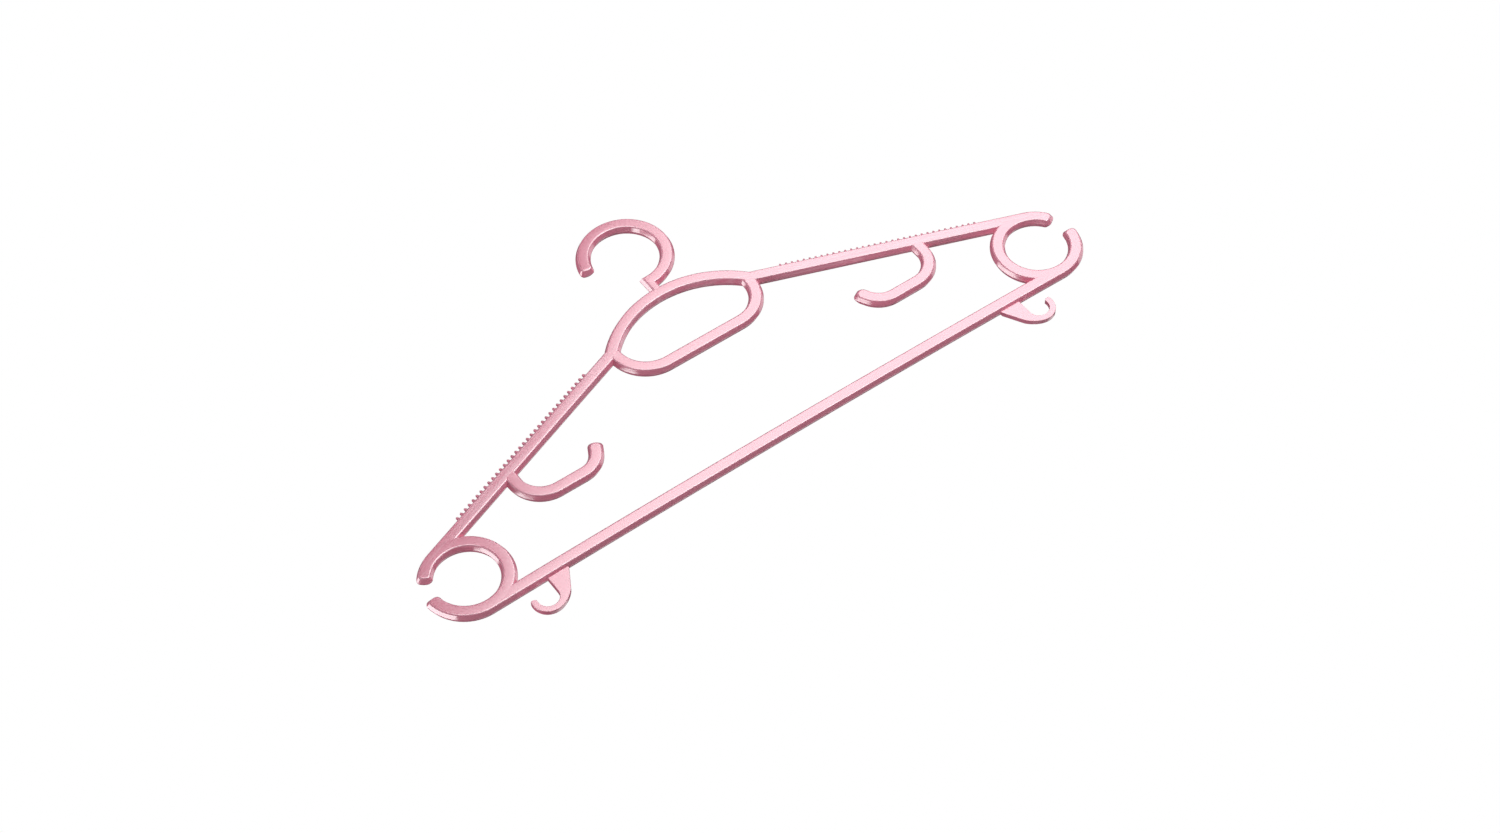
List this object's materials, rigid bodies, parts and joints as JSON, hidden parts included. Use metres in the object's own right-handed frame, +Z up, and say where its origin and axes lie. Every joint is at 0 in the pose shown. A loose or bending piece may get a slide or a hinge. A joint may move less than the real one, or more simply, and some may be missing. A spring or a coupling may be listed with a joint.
{
  "type": "scarf hanger",
  "caption": "Flat moulded plastic hanger with a fixed hook, a centre loop, sloping nubbed arms, scarf hooks, open end rings and a bottom bar with small hooks.",
  "frame": {"origin": "centre of the hook's bow, on the parting plane: where the rail's axis lies", "axes": "+X to the right along the hanger, +Z up towards the rail, front face towards -Y"},
  "size_m": [0.4202, 0.006, 0.2004],
  "materials": {
    "pink_plastic": "satin gloss moulded"
  },
  "bodies": {
    "root": {"hook": "pink_plastic", "neck_post": "pink_plastic", "loop_arch": "pink_plastic", "loop_base": "pink_plastic", "left_arm": "pink_plastic", "right_arm": "pink_plastic", "left_grip_nubs": "pink_plastic", "right_grip_nubs": "pink_plastic", "left_scarf_hook": "pink_plastic", "right_scarf_hook": "pink_plastic", "left_end_ring": "pink_plastic", "right_end_ring": "pink_plastic", "bottom_bar": "pink_plastic", "left_small_hook": "pink_plastic", "right_small_hook": "pink_plastic"}
  },
  "joints": []
}
